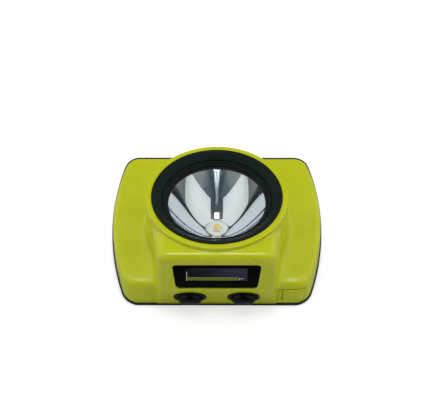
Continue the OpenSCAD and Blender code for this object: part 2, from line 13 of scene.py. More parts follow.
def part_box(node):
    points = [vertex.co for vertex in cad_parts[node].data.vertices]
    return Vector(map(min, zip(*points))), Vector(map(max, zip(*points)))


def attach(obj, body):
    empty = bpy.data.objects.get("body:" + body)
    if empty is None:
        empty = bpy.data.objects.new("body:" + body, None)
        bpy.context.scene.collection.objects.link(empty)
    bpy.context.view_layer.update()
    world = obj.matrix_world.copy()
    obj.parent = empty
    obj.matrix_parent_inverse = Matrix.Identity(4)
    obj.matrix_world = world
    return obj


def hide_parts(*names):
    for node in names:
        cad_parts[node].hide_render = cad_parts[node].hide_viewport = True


bl_info = {
    "name": "Miner's Cap Lamp",
    "version": (1, 0, 0),
    "blender": (4, 5, 0),
    "location": "View3D > Sidebar > Cap Lamp",
    "description": "Builds a cordless miner's cap lamp over its packed model, with its materials and a studio",
    "category": "Add Mesh",
}

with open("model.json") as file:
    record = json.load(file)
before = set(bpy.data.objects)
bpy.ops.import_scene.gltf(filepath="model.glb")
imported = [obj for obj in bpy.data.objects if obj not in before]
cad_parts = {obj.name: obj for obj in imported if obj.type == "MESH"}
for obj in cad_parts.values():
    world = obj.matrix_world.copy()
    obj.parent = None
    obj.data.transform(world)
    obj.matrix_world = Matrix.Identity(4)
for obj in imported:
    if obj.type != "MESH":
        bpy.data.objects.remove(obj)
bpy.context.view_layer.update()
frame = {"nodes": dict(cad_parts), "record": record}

MM = 0.001
BODY = "lamp_body"
BLOCK_DRAFT = math.tan(math.radians(7))

# The lamp's axis and the heights in its head, from the model's own pieces
LENS_LOW, LENS_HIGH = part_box("lens")
AXIS_Y = (LENS_LOW.y + LENS_HIGH.y) / 2
BEZEL_LOW, BEZEL_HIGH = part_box("bezel_ring")
BEZEL_R = (BEZEL_HIGH.x - BEZEL_LOW.x) / 2
SEAT_Z = BEZEL_LOW.z
REFLECTOR_LOW, REFLECTOR_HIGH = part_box("reflector")
WINDOW_LOW, WINDOW_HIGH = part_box("display_window")
PANEL_LOW, PANEL_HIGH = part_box("oled_panel")
COVER_LOW, COVER_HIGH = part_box("port_cover")
COVER_TOP = COVER_HIGH.z - 1.1 * MM
PIN_LOW, PIN_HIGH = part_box("port_cover_pin")
PIN_TOP = COVER_TOP - 2 * MM
HINGE = ((PIN_LOW.x + PIN_HIGH.x) / 2, (PIN_LOW.y + PIN_HIGH.y) / 2)
KNUCKLE_R = 0.9 * MM
SOCKET_LOW, SOCKET_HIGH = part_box("charge_socket")


# ---- settings --------------------------------------------------------------------------------------
def length(name, description, millimetres):
    return bpy.props.FloatProperty(
        name=name, description=description, default=millimetres * MM, unit="LENGTH", subtype="DISTANCE")


def colour(name, description, rgb):
    return bpy.props.FloatVectorProperty(
        name=name, description=description, default=rgb, size=3, min=0, max=1, subtype="COLOR")


class CapLampSizes(bpy.types.PropertyGroup):
    """Sizes of the lamp's outer form"""
    half_width: length("Half width", "Half the width across the wings", 39.9)
    side_r: length("Side radius", "Radius of the bowed sides of the wings", 83)
    side_y: length("Side centre", "Where the wings are widest, from the middle of the back", 0.7)
    near_corner: length("Near corner", "Radius of the wings' corners on the display side", 6.6)
    far_corner: length("Far corner", "Radius of the wings' corners on the far side", 5.7)
    near_y: length("Near edge", "Where the back face ends on the display side", -30.5)
    far_y: length("Far edge", "Where the back face ends on the far side", 30.5)
    near_height: length("Near height", "Height of the wings on the display side", 10.9)
    far_height: length("Far height", "Height of the wings on the far side", 18.1)
    near_lean: length("Near lean", "How far the wings' near wall leans back at its top", 0.5)
    wing_edge: length("Wing edge", "Radius of the wings' upper edge", 2.4)
    head_r: length("Head radius", "Outer radius of the lamp head", 26.7)
    head_height: length("Head height", "Height of the head's rim", 33.1)
    block_height: length("Block height", "Height of the display block", 31.4)
    block_half: length("Block half width", "Half width of the display block at its face", 21.8)
    block_reach: length("Block reach", "How far the display face stands out past the back face", 4.3)
    fold: length("Fold height", "Height of the fold between the display and the button face", 12.9)
    valley: length("Valley", "Reach of the soft hollow where the head meets the wings", 4.0)
    near_bend: length("Near bend", "Reach of the soft bend between the wings' top and their near wall", 5.5)
    skin: length("Skin detail", "Size of the faces of the shell's skin", 0.5)
    parting_near: length("Near parting", "Height of the parting line on the display side", 1.0)
    parting_far: length("Far parting", "Height of the parting line on the far side", 17.3)
    rim_lip: length("Rim lip", "How far the housing's rim stands out", 0.5)
    wall: length("Wall", "Wall thickness of both shells", 2.0)


class CapLampColours(bpy.types.PropertyGroup):
    """Colours of the lamp's finishes"""
    shell: colour("Shell", "Yellow-green shell", (0.635, 0.69, 0.003))
    housing: colour("Housing", "Rear housing", (0.012, 0.014, 0.014))
    bezel: colour("Bezel", "Ring round the lens", (0.007, 0.015, 0.0135))
    rubber: colour("Rubber", "Buttons and seals", (0.002, 0.0028, 0.003))
    metal: colour("Metal", "Metallised reflector", (0.80, 0.835, 0.86))
    floor: colour("Floor", "Studio floor", (0.72, 0.72, 0.72))


# ---- modelling steps -------------------------------------------------------------------------------
def select_all(action="SELECT"):
    """Selects every part of the mesh being edited, or none"""
    bpy.ops.mesh.select_all(action=action)


def deselect():
    """Leaves no object selected"""
    bpy.ops.object.select_all(action="DESELECT")


def only(*objects):
    """Selects just these objects and makes the first one active"""
    if bpy.context.object and bpy.context.object.mode != "OBJECT":
        bpy.ops.object.mode_set(mode="OBJECT")
    deselect()
    for obj in objects:
        obj.select_set(True)
    bpy.context.view_layer.objects.active = objects[0]


def settle(obj):
    """Puts the object's origin at the model's origin, unturned and unscaled"""
    only(obj)
    bpy.ops.object.transform_apply(location=True, rotation=True, scale=True)
    return obj


def post(radius, low, high, at=(0, 0), sides=64):
    """Upright round post between two heights"""
    deselect()
    bpy.ops.mesh.primitive_cylinder_add(
        vertices=sides, radius=radius, depth=high - low, location=(at[0], at[1], (low + high) / 2))
    return settle(bpy.context.object)


def block(low, high):
    """Block between two corners"""
    low, high = Vector(low), Vector(high)
    deselect()
    bpy.ops.mesh.primitive_cube_add(size=1, location=(low + high) / 2, scale=high - low)
    return settle(bpy.context.object)


def select_edges(obj, pick):
    """In edit mode, selects the edges whose two ends pass the test"""
    only(obj)
    bpy.ops.object.mode_set(mode="EDIT")
    bpy.ops.mesh.select_mode(type="EDGE")
    select_all("DESELECT")
    bpy.ops.object.mode_set(mode="OBJECT")
    points = [v.co for v in obj.data.vertices]
    for edge in obj.data.edges:
        edge.select = pick(points[edge.vertices[0]], points[edge.vertices[1]])
    bpy.ops.object.mode_set(mode="EDIT")


def round_edges(obj, radius, pick, segments=6):
    """Rounds the edges that pass the test"""
    select_edges(obj, pick)
    bpy.ops.mesh.bevel(offset=radius, segments=segments, profile=0.5, affect="EDGES", clamp_overlap=True)
    bpy.ops.object.mode_set(mode="OBJECT")
    return obj


def modify(obj, kind, **settings):
    """Adds a modifier with these settings and applies it"""
    only(obj)
    modifier = obj.modifiers.new("Step", kind)
    for key, value in settings.items():
        setattr(modifier, key, value)
    bpy.ops.object.modifier_apply(modifier="Step")
    return obj


def soften(obj, radius, segments=3, angle=35):
    """Rounds every edge sharper than the angle"""
    return modify(obj, "BEVEL", width=radius, segments=segments, limit_method="ANGLE",
                  angle_limit=math.radians(angle), use_clamp_overlap=True)


def trim(obj, point, normal):
    """Cuts off what lies on the side of a plane that its normal points to, and closes the cut"""
    only(obj)
    bpy.ops.object.mode_set(mode="EDIT")
    select_all()
    bpy.ops.mesh.bisect(plane_co=point, plane_no=normal, use_fill=True, clear_outer=True)
    bpy.ops.object.mode_set(mode="OBJECT")
    return obj


def join(*objects):
    """Joins several objects into the first one"""
    only(*objects)
    bpy.ops.object.join()
    return bpy.context.object


def wrap(*objects):
    """The tightest convex form round several objects"""
    whole = join(*objects)
    bpy.ops.object.mode_set(mode="EDIT")
    select_all()
    bpy.ops.mesh.convex_hull()
    select_all()
    bpy.ops.mesh.dissolve_limited(angle_limit=math.radians(0.3))
    bpy.ops.mesh.normals_make_consistent(inside=False)
    bpy.ops.object.mode_set(mode="OBJECT")
    return whole


def combine(obj, other, how="DIFFERENCE"):
    """Cuts another object out of this one, or joins or intersects the two"""
    modify(obj, "BOOLEAN", operation=how, object=other, solver="MANIFOLD")
    if not obj.data.polygons:
        raise RuntimeError(f"nothing is left of {obj.name} after {how}")
    bpy.data.objects.remove(other)
    return obj


def copy(obj):
    """A second object with its own copy of the mesh"""
    twin = obj.copy()
    twin.data = obj.data.copy()
    bpy.context.collection.objects.link(twin)
    return twin


def turned(outline, steps=128, close=True):
    """Solid of revolution on the lamp's axis, from points [radius, height]"""
    deselect()
    bpy.ops.mesh.primitive_plane_add(size=MM, location=(0, 0, 0))
    obj = bpy.context.object
    bpy.ops.object.mode_set(mode="EDIT")
    bpy.ops.mesh.select_mode(type="VERT")
    select_all()
    bpy.ops.mesh.merge(type="CENTER")
    bpy.ops.transform.translate(value=(outline[0][0], AXIS_Y, outline[0][1]))
    stops = list(outline) + ([outline[0]] if close else [])
    for before, after in zip(stops, stops[1:]):
        bpy.ops.mesh.extrude_vertices_move(
            TRANSFORM_OT_translate={"value": (after[0] - before[0], 0, after[1] - before[1])})
    select_all()
    bpy.ops.mesh.spin(steps=steps, angle=math.tau, center=(0, AXIS_Y, 0), axis=(0, 0, 1))
    select_all()
    bpy.ops.mesh.remove_doubles(threshold=1e-6)
    bpy.ops.mesh.normals_make_consistent(inside=False)
    bpy.ops.object.mode_set(mode="OBJECT")
    return settle(obj)


def finish_piece(obj, name, slot, body=BODY, replaces=(), angle=35, material=None):
    """Names, shades and paints a finished piece, and ties it to the model"""
    settle(obj)
    obj.name = obj.data.name = name
    bpy.ops.object.shade_smooth_by_angle(angle=math.radians(angle))
    obj.data.materials.clear()
    obj.data.materials.append(material or finishes()[slot])
    if replaces:
        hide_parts(*replaces)
    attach(obj, body)
    return obj


# ---- shared effects for the materials --------------------------------------------------------------
def effect(name, inputs, outputs, build):
    """Shader node group that takes a place and some numbers and gives numbers back, made once"""
    group = bpy.data.node_groups.get(name)
    if group:
        return group
    group = bpy.data.node_groups.new(name, "ShaderNodeTree")
    group.interface.new_socket("Vector", in_out="INPUT", socket_type="NodeSocketVector")
    for label, value in inputs.items():
        group.interface.new_socket(label, in_out="INPUT", socket_type="NodeSocketFloat").default_value = value
    for label in outputs:
        group.interface.new_socket(label, in_out="OUTPUT", socket_type="NodeSocketFloat")
    build(Nodes(group))
    return group


class Nodes:
    """Short calls for placing and linking shader nodes"""

    def __init__(self, tree):
        self.tree = tree
        self.column = 0

    def add(self, kind, settings=None, **inputs):
        node = self.tree.nodes.new(kind)
        node.location = (self.column, 0)
        self.column += 190
        for key, value in (settings or {}).items():
            setattr(node, key, value)
        for key, value in inputs.items():
            self.put(node, key.replace("_", " "), value)
        return node

    def put(self, node, key, value):
        socket = node.inputs[int(key[1:])] if key[:1] == "n" and key[1:].isdigit() else node.inputs[key]
        if isinstance(value, bpy.types.NodeSocket):
            self.tree.links.new(value, socket)
        else:
            socket.default_value = value

    def sum(self, operation, a, b=0.0, c=None, clamp=False):
        node = self.add("ShaderNodeMath", {"operation": operation, "use_clamp": clamp}, n0=a, n1=b)
        if c is not None:
            self.put(node, "n2", c)
        return node.outputs[0]

    def noise(self, vector, scale, detail=2.0, roughness=0.5):
        return self.add("ShaderNodeTexNoise", Vector=vector, Scale=scale, Detail=detail,
                        Roughness=roughness).outputs["Fac"]

    def span(self, value, low, high, start=0.0, end=1.0):
        """Maps low..high to start..end, smoothly and clamped"""
        return self.add("ShaderNodeMapRange", {"interpolation_type": "SMOOTHSTEP"}, Value=value,
                        From_Min=low, From_Max=high, To_Min=start, To_Max=end).outputs["Result"]

    def blend(self, factor, a, b):
        return self.add("ShaderNodeMix", {"data_type": "RGBA"}, n0=factor, n6=a, n7=b).outputs[2]


def moulded_grain():
    """Fine texture and slow unevenness of a moulded surface"""
    def build(n):
        source = n.add("NodeGroupInput").outputs
        fine = n.noise(source["Vector"], source["Grain"], 3.0, 0.6)
        slow = n.noise(source["Vector"], source["Unevenness"], 2.0, 0.5)
        result = n.add("NodeGroupOutput")
        n.put(result, "Height", n.sum("MULTIPLY_ADD", slow, 0.35, fine))
        n.put(result, "Mottle", n.span(slow, 0.3, 0.7))
    return effect("Moulded grain", {"Grain": 2600.0, "Unevenness": 60.0}, ("Height", "Mottle"), build)


def edge_wear():
    """Mask of edges rubbed by handling, broken up by noise"""
    def build(n):
        source = n.add("NodeGroupInput").outputs
        edge = n.span(n.add("ShaderNodeNewGeometry").outputs["Pointiness"], 0.515, 0.56)
        broken = n.span(n.noise(source["Vector"], 900.0, 4.0, 0.7), 0.42, 0.66)
        result = n.add("NodeGroupOutput")
        n.put(result, "Mask", n.sum("MULTIPLY", n.sum("MULTIPLY", edge, broken), source["Amount"]))
    return effect("Edge wear", {"Amount": 0.5}, ("Mask",), build)


def brushing():
    """Height of fine parallel brush marks along X"""
    def build(n):
        source = n.add("NodeGroupInput").outputs
        stretched = n.add("ShaderNodeMapping", Vector=source["Vector"], Scale=(60.0, 2400.0, 2400.0))
        result = n.add("NodeGroupOutput")
        n.put(result, "Height", n.noise(stretched.outputs[0], 1.0, 3.0, 0.6))
    return effect("Brushing", {}, ("Height",), build)


def frame_mask():
    """1 inside an upright rectangle on the display face, from its edges in metres"""
    def build(n):
        source = n.add("NodeGroupInput").outputs
        place = n.add("ShaderNodeSeparateXYZ", Vector=source["Vector"]).outputs
        soft = 0.00008
        sides = ((place["X"], source["Left"]), (source["Right"], place["X"]),
                 (place["Z"], source["Low"]), (source["High"], place["Z"]))
        inside = [n.span(n.sum("SUBTRACT", more, less), 0.0, soft) for more, less in sides]
        result = n.add("NodeGroupOutput")
        n.put(result, "Mask", n.sum("MULTIPLY", n.sum("MULTIPLY", inside[0], inside[1]),
                                    n.sum("MULTIPLY", inside[2], inside[3])))
    return effect("Frame mask", dict.fromkeys(("Left", "Right", "Low", "High"), 0.0), ("Mask",), build)


def rgba(rgb, factor=1.0):
    """Opaque colour, made lighter or darker by a factor"""
    return (rgb[0] * factor, rgb[1] * factor, rgb[2] * factor, 1.0)


def new_material(name):
    """Material with a Principled surface, and its node helper"""
    material = bpy.data.materials.new(name.replace("_", " "))
    material.use_nodes = True
    n = Nodes(material.node_tree)
    surface = material.node_tree.nodes["Principled BSDF"]
    surface.location = (1500, 0)
    material.node_tree.nodes["Material Output"].location = (1800, 0)
    place = n.add("ShaderNodeTexCoord").outputs["Object"]
    return material, n, surface, place


def moulded(name, rgb, roughness, shade=0.08, grain=2600.0, depth=0.00002, wear=0.0, specular=0.5):
    """Moulded plastic or rubber: grain, slow unevenness and rubbed edges"""
    material, n, surface, place = new_material(name)
    texture = n.add("ShaderNodeGroup", {"node_tree": moulded_grain()}, Vector=place, Grain=grain)
    tone = n.blend(texture.outputs["Mottle"], rgba(rgb, 1 - shade), rgba(rgb, 1 + shade))
    if wear:
        worn = n.add("ShaderNodeGroup", {"node_tree": edge_wear()}, Vector=place, Amount=wear)
        tone = n.blend(worn.outputs["Mask"], tone, rgba([min(1.0, c * 1.25 + 0.03) for c in rgb]))
    n.put(surface, "Base Color", tone)
    n.put(surface, "Roughness", n.span(texture.outputs["Mottle"], 0.0, 1.0, roughness * 0.92, roughness * 1.08))
    bump = n.add("ShaderNodeBump", Strength=0.35, Distance=depth, Height=texture.outputs["Height"])
    n.put(surface, "Normal", bump.outputs[0])
    surface.inputs["Specular IOR Level"].default_value = specular
    return material


def metal(name, rgb, roughness):
    """Brushed metal"""
    material, n, surface, place = new_material(name)
    height = n.add("ShaderNodeGroup", {"node_tree": brushing()}, Vector=place).outputs["Height"]
    n.put(surface, "Base Color", n.blend(n.span(height, 0.3, 0.9), rgba(rgb, 0.86), rgba(rgb)))
    n.put(surface, "Roughness", n.span(height, 0.2, 1.0, roughness * 0.8, roughness * 1.2))
    bump = n.add("ShaderNodeBump", Strength=0.2, Distance=0.00001, Height=height)
    n.put(surface, "Normal", bump.outputs[0])
    surface.inputs["Metallic"].default_value = 1.0
    return material


def clear_glass(name, rgb, ior=1.45):
    """Clear glass that lets the studio's light through to what is behind it"""
    material, n, surface, place = new_material(name)
    smudge = n.noise(place, 130.0, 3.0, 0.6)
    n.put(surface, "Roughness", n.span(smudge, 0.45, 0.8, 0.0, 0.03))
    surface.inputs["Base Color"].default_value = rgba(rgb)
    surface.inputs["Transmission Weight"].default_value = 1.0
    surface.inputs["IOR"].default_value = ior
    lit = n.add("ShaderNodeLightPath").outputs["Is Shadow Ray"]
    through = n.add("ShaderNodeBsdfTransparent")
    through.inputs[0].default_value = rgba(rgb)
    mix = n.add("ShaderNodeMixShader", n0=lit, n1=surface.outputs[0], n2=through.outputs[0])
    n.put(material.node_tree.nodes["Material Output"], "Surface", mix.outputs[0])
    return material


def reflector_metal(rgb):
    """Vacuum-metallised bowl, with the faint turning marks of its mould"""
    material, n, surface, place = new_material("reflector_metal")
    spot = n.add("ShaderNodeMapping", Vector=place, Location=(0, -AXIS_Y, 0)).outputs[0]
    rings = n.add("ShaderNodeTexWave", {"wave_type": "RINGS", "rings_direction": "Z"}, Vector=spot, Scale=420.0,
                  Distortion=0.6, Detail=1.0).outputs["Fac"]
    surface.inputs["Base Color"].default_value = rgba(rgb)
    n.put(surface, "Roughness", n.span(n.noise(place, 160.0), 0.3, 0.7, 0.035, 0.075))
    bump = n.add("ShaderNodeBump", Strength=0.04, Distance=0.00001, Height=rings)
    n.put(surface, "Normal", bump.outputs[0])
    surface.inputs["Metallic"].default_value = 1.0
    return material


def window_glass():
    """Smoked pane, printed black round a clear opening"""
    material, n, surface, place = new_material("window_glass")
    half_clear = 11.3 * MM
    clear = n.add("ShaderNodeGroup", {"node_tree": frame_mask()}, Vector=place, Left=-half_clear,
                  Right=half_clear, Low=17.4 * MM, High=24.7 * MM).outputs["Mask"]
    # Only the front face is printed
    depth = n.add("ShaderNodeSeparateXYZ", Vector=place).outputs["Y"]
    clear = n.sum("MAXIMUM", clear, n.span(depth, WINDOW_LOW.y + 0.3 * MM, WINDOW_LOW.y + 0.4 * MM))
    smudge = n.noise(place, 240.0, 3.0, 0.6)
    n.put(surface, "Base Color", n.blend(clear, (0.0015, 0.0016, 0.0018, 1), (0.01, 0.012, 0.016, 1)))
    n.put(surface, "Roughness", n.span(smudge, 0.4, 0.8, 0.06, 0.14))
    n.put(surface, "Alpha", n.sum("SUBTRACT", 1.0, n.sum("MULTIPLY", clear, 0.8)))
    surface.inputs["IOR"].default_value = 1.08
    return material


def panel_glass():
    """Display panel that glows: dark glass with a painted grey-blue reflection towards the right, a level bar, a thin
    frame line and a small mark with a painted highlight
    """
    material, n, surface, place = new_material("panel_glass")

    def area(left, right, low, high):
        return n.add("ShaderNodeGroup", {"node_tree": frame_mask()}, Vector=place, Left=left * MM,
                     Right=right * MM, Low=low * MM, High=high * MM).outputs["Mask"]

    # Painted reflection: the dark glass turns grey-blue towards the right
    tone = n.blend(n.span(n.add("ShaderNodeSeparateXYZ", Vector=place).outputs["X"], -0.01, 0.011),
                   (0.008, 0.010, 0.012, 1), (0.034, 0.035, 0.06, 1))
    tone = n.blend(area(-11.0, 8.0, 14.6, 16.2), tone, (0.15, 0.20, 0.012, 1))
    for edges in ((-11.3, -10.9, 14.4, 19.5), (-11.0, 8.0, 16.2, 16.4)):
        tone = n.blend(area(*edges), tone, (0.42, 0.43, 0.42, 1))
    # Small mark: painted highlight on a small dark part at the right end of the bar
    for left in (8.2, 9.0, 9.8):
        tone = n.blend(area(left, left + 0.45, 14.9 + (left - 8.2) * 0.5, 16.0), tone, (0.6, 0.62, 0.6, 1))
    n.put(surface, "Base Color", tone)
    # The whole panel glows with this colour: the level bar as lit display content, and the painted reflection and
    # highlight as painted light
    n.put(surface, "Emission Color", tone)
    surface.inputs["Emission Strength"].default_value = 0.9
    n.put(surface, "Roughness", n.span(n.noise(place, 300.0), 0.3, 0.7, 0.12, 0.2))
    return material


def flat_coated(name, rgb, roughness, pattern_scale, spread):
    """Solder mask, film or wrap: a coated flat surface with a slight cell pattern"""
    material, n, surface, place = new_material(name)
    cells = n.add("ShaderNodeTexVoronoi", Vector=place, Scale=pattern_scale).outputs["Distance"]
    n.put(surface, "Base Color", n.blend(n.span(cells, 0.1, 0.8), rgba(rgb, 1 - spread), rgba(rgb, 1 + spread)))
    n.put(surface, "Roughness", n.span(cells, 0.0, 1.0, roughness * 0.8, roughness * 1.2))
    surface.inputs["Coat Weight"].default_value = 0.3
    return material


def all_materials(colours):
    """One material for each of the record's slots"""
    return {
        "shell_yellow": moulded("shell_yellow", colours.shell, 0.27, shade=0.03, wear=0.3, specular=0.5),
        "housing_dark": moulded("housing_dark", colours.housing, 0.55, wear=0.5, specular=0.3),
        "bezel_black": moulded("bezel_black", colours.bezel, 0.36, grain=3200.0, depth=0.00001, wear=0.3,
                               specular=0.08),
        "seal_rubber": moulded("seal_rubber", colours.rubber, 0.7, grain=1800.0),
        "button_rubber": moulded("button_rubber", colours.rubber, 0.2, grain=1500.0, depth=0.000004, specular=0.15),
        "lens_glass": clear_glass("lens_glass", (0.97, 0.985, 0.98)),
        "window_glass": window_glass(),
        "reflector_metal": reflector_metal(colours.metal),
        "led_ceramic": moulded("led_ceramic", (0.78, 0.77, 0.68), 0.3, grain=4000.0),
        "led_silicone": clear_glass("led_silicone", (0.98, 0.93, 0.72), 1.41),
        "board_white": flat_coated("board_white", (0.78, 0.78, 0.76), 0.35, 900.0, 0.04),
        "board_green": flat_coated("board_green", (0.01, 0.09, 0.03), 0.3, 700.0, 0.25),
        "parts_black": moulded("parts_black", (0.012, 0.012, 0.012), 0.5),
        "panel_glass": panel_glass(),
        "ribbon_film": flat_coated("ribbon_film", (0.42, 0.16, 0.02), 0.3, 400.0, 0.1),
        "cell_wrap": flat_coated("cell_wrap", (0.02, 0.08, 0.36), 0.28, 200.0, 0.08),
        "foam_grey": moulded("foam_grey", (0.3, 0.3, 0.3), 0.9, shade=0.2, grain=1200.0, depth=0.0001),
        "lead_red": moulded("lead_red", (0.4, 0.012, 0.01), 0.45),
        "sink_metal": metal("sink_metal", (0.72, 0.73, 0.75), 0.38),
        "steel": metal("steel", (0.6, 0.61, 0.63), 0.3),
    }


PAINT = {}


def finishes():
    """The materials by slot, made at the first call"""
    if not PAINT:
        PAINT.update(all_materials(bpy.context.scene.cap_lamp_colours))
    return PAINT


# ---- the outer form --------------------------------------------------------------------------------
def wings(sizes, grow, low, high):
    """Prism over the wings: the lens shape that two wide circles share, with four round corners"""
    side_x = sizes.half_width - sizes.side_r
    bow = post(sizes.side_r + grow, low, high, (side_x, sizes.side_y), 512)
    combine(bow, post(sizes.side_r + grow, low - MM, high + MM, (-side_x, sizes.side_y), 512), "INTERSECT")
    rounds = []
    for radius, y, out in ((sizes.near_corner, sizes.near_y + sizes.near_corner, -1),
                           (sizes.far_corner, sizes.far_y - sizes.far_corner, 1)):
        x = side_x + math.sqrt((sizes.side_r - radius) ** 2 - (y - sizes.side_y) ** 2)
        rounds += [post(radius + grow, low, high, (side * x, y), 96) for side in (-1, 1)]
        trim(bow, (0, y, 0), (0, out, 0))
    return wrap(bow, *rounds)


def slope(sizes, near, far):
    """A point on a plane that slopes along Y between two heights, and its upward normal"""
    rise = (far - near) / (sizes.far_y - sizes.near_y)
    return (0, sizes.near_y, near), Vector((0, -rise, 1)).normalized()


def wings_under(sizes, grow, low, lower=0.0):
    """The wings up to their sloping top, less a thickness"""
    whole = wings(sizes, grow, low, sizes.far_height + MM)
    point, up = slope(sizes, sizes.near_height - lower, sizes.far_height - lower)
    return trim(whole, point, up)


def trim_undercut(obj, sizes, inset=0.0):
    """Cuts the button face, which slopes back below the fold"""
    return trim(obj, (0, sizes.near_y + inset, 0), Vector((0, -sizes.fold, -sizes.block_reach)).normalized())


def display_block(sizes, inset=0.0):
    """Block that carries the display, with spreading sides and an undercut button face"""
    back_y = AXIS_Y - sizes.head_r / 3
    face_y = sizes.near_y - sizes.block_reach
    half_back = sizes.block_half + (back_y - face_y) * BLOCK_DRAFT - inset
    whole = block((-half_back, face_y + inset, 0), (half_back, AXIS_Y, sizes.block_height - inset))
    for side in (-1, 1):
        trim(whole, (side * (sizes.block_half - inset), face_y, 0), Vector((side, -BLOCK_DRAFT, 0)).normalized())
    return trim_undercut(whole, sizes, inset)


def outer_solid(sizes):
    """The shell's outer form as one closed skin, with soft hollows where its parts meet"""
    body = wings_under(sizes, 0, 0)
    lean_low, lean_high = sizes.parting_near + MM / 2, sizes.near_height
    trim(body, (0, sizes.near_y, lean_low), Vector((0, lean_low - lean_high, sizes.near_lean)).normalized())
    round_edges(body, sizes.wing_edge, lambda a, b: min(a.z, b.z) > sizes.near_height - MM, 8)
    head = post(sizes.head_r, 2 * MM, sizes.head_height, (0, AXIS_Y), 192)
    trim_undercut(head, sizes)
    front = display_block(sizes)
    face_y = sizes.near_y - sizes.block_reach
    roof = sizes.block_height

    def shoulder(a, b):
        return min(a.z, b.z) > roof - MM and min(abs(a.x), abs(b.x)) > 15 * MM and a.x * b.x > 0

    round_edges(front, 3.4 * MM, shoulder, 10)

    def face_outline(a, b):
        on_face = max(a.y, b.y) < face_y + 0.2 * MM
        return on_face and max(a.z, b.z) > sizes.fold + MM

    round_edges(front, 2.4 * MM, face_outline, 8)
    round_edges(front, 3.1 * MM, lambda a, b: max(a.z, b.z) < sizes.fold + 4 * MM and abs(a.z - b.z) > 5 * MM
                and min(abs(a.x), abs(b.x)) > 18 * MM and max(a.y, b.y) < sizes.near_y + 3 * MM, 8)
    whole = join(body, head, front)
    whole.data.remesh_voxel_size = sizes.skin
    whole.data.remesh_voxel_adaptivity = 0.0
    bpy.ops.object.voxel_remesh()
    smooth_valley(whole, sizes)
    return whole


def smooth_valley(obj, sizes):
    """Relaxes the skin, most of all where the head and the block meet the wings"""
    rise = (sizes.far_height - sizes.near_height) / (sizes.far_y - sizes.near_y)
    face_y = sizes.near_y - sizes.block_reach
    valley = obj.vertex_groups.new(name="Valley")
    crease = obj.vertex_groups.new(name="Crease")
    bend = obj.vertex_groups.new(name="Bend")
    corner_y = sizes.near_y + sizes.near_corner
    corner_x = sizes.half_width - sizes.side_r + math.sqrt(
        (sizes.side_r - sizes.near_corner) ** 2 - (corner_y - sizes.side_y) ** 2)
    everywhere = obj.vertex_groups.new(name="Everywhere")
    everywhere.add(range(len(obj.data.vertices)), 1.0, "REPLACE")
    for vertex in obj.data.vertices:
        x, y, z = vertex.co
        from_head = math.hypot(x, y - AXIS_Y) - sizes.head_r
        from_block = abs(x) - sizes.block_half - (y - face_y) * BLOCK_DRAFT
        outside = min(from_head, from_block) if y < AXIS_Y else from_head
        above = z - sizes.near_height - (y - sizes.near_y) * rise
        reach = math.hypot(outside, above) / sizes.valley
        if reach < 1 and y > face_y + MM:
            valley.add([vertex.index], min(1.0, 2.2 * (1 - reach)), "REPLACE")
        corner = math.hypot(from_head, from_block) / (5 * MM)
        if corner < 1 and z > sizes.near_height and z < sizes.block_height - 3 * MM:
            crease.add([vertex.index], min(1.0, 2 * (1 - corner)), "REPLACE")
        inward = sizes.near_corner - math.hypot(max(abs(x) - corner_x, 0), min(y - corner_y, 0))
        reach = math.hypot(inward, above) / sizes.near_bend
        if reach < 1 and y < corner_y and from_block > MM:
            fade = min(1.0, (corner_y - y) / (4 * MM)) * min(1.0, (from_block - MM) / (2 * MM))
            bend.add([vertex.index], min(1.0, 2.2 * (1 - reach)) * fade, "REPLACE")
    for group, times in (("Everywhere", 3), ("Valley", 40), ("Crease", 30), ("Bend", 70)):
        modify(obj, "SMOOTH", factor=0.5, iterations=times, vertex_group=group)
    obj.vertex_groups.clear()


def oval(half_wide, half_high, low, high, x, sizes, top_bevel=0.0, segments=8):
    """Oval slab on the button face: x along it, low and high along its outward normal"""
    whole = post(half_wide, low, high, sides=96)
    if top_bevel:
        round_edges(whole, top_bevel, lambda a, b: min(a.z, b.z) > high - 1e-6, segments)
    whole.scale = (1, half_high / half_wide, 1)
    settle(whole)
    tilt = math.pi / 2 + math.atan2(sizes.block_reach, sizes.fold)
    whole.matrix_world = (Matrix.Translation((x, sizes.near_y, 0)) @ Matrix.Rotation(tilt, 4, "X")
                          @ Matrix.Translation((0, BUTTON_RISE, 0)))
    return settle(whole)


# Places of the buttons from the middle and up the button face
BUTTON_X = 10.0 * MM
BUTTON_RISE = 7.7 * MM
SCREW_HOLE_R = 1.35 * MM
# Half width and half height of a button, of its bore in the ring and of the ring
BUTTON = (4.75 * MM, 3.1 * MM)
BORE = (5.0 * MM, 3.35 * MM)
RING = (6.1 * MM, 4.15 * MM)


def window_pane(low_y, high_y, grow, corner):
    """Plate in the outline of the window, wider at its top, between two depths"""
    low, high = 14.0 * MM - grow, 26.8 * MM + grow
    half_low, half_high = 14.95 * MM + grow, 16.3 * MM + grow
    plate = block((-half_high - MM, low_y, low), (half_high + MM, high_y, high))
    for side in (-1, 1):
        lean = Vector((side * (high - low), 0, -(half_high - half_low))).normalized()
        trim(plate, (side * half_low, 0, low), lean)
    return round_edges(plate, corner, lambda a, b: abs(a.y - b.y) > 1e-5, 6)


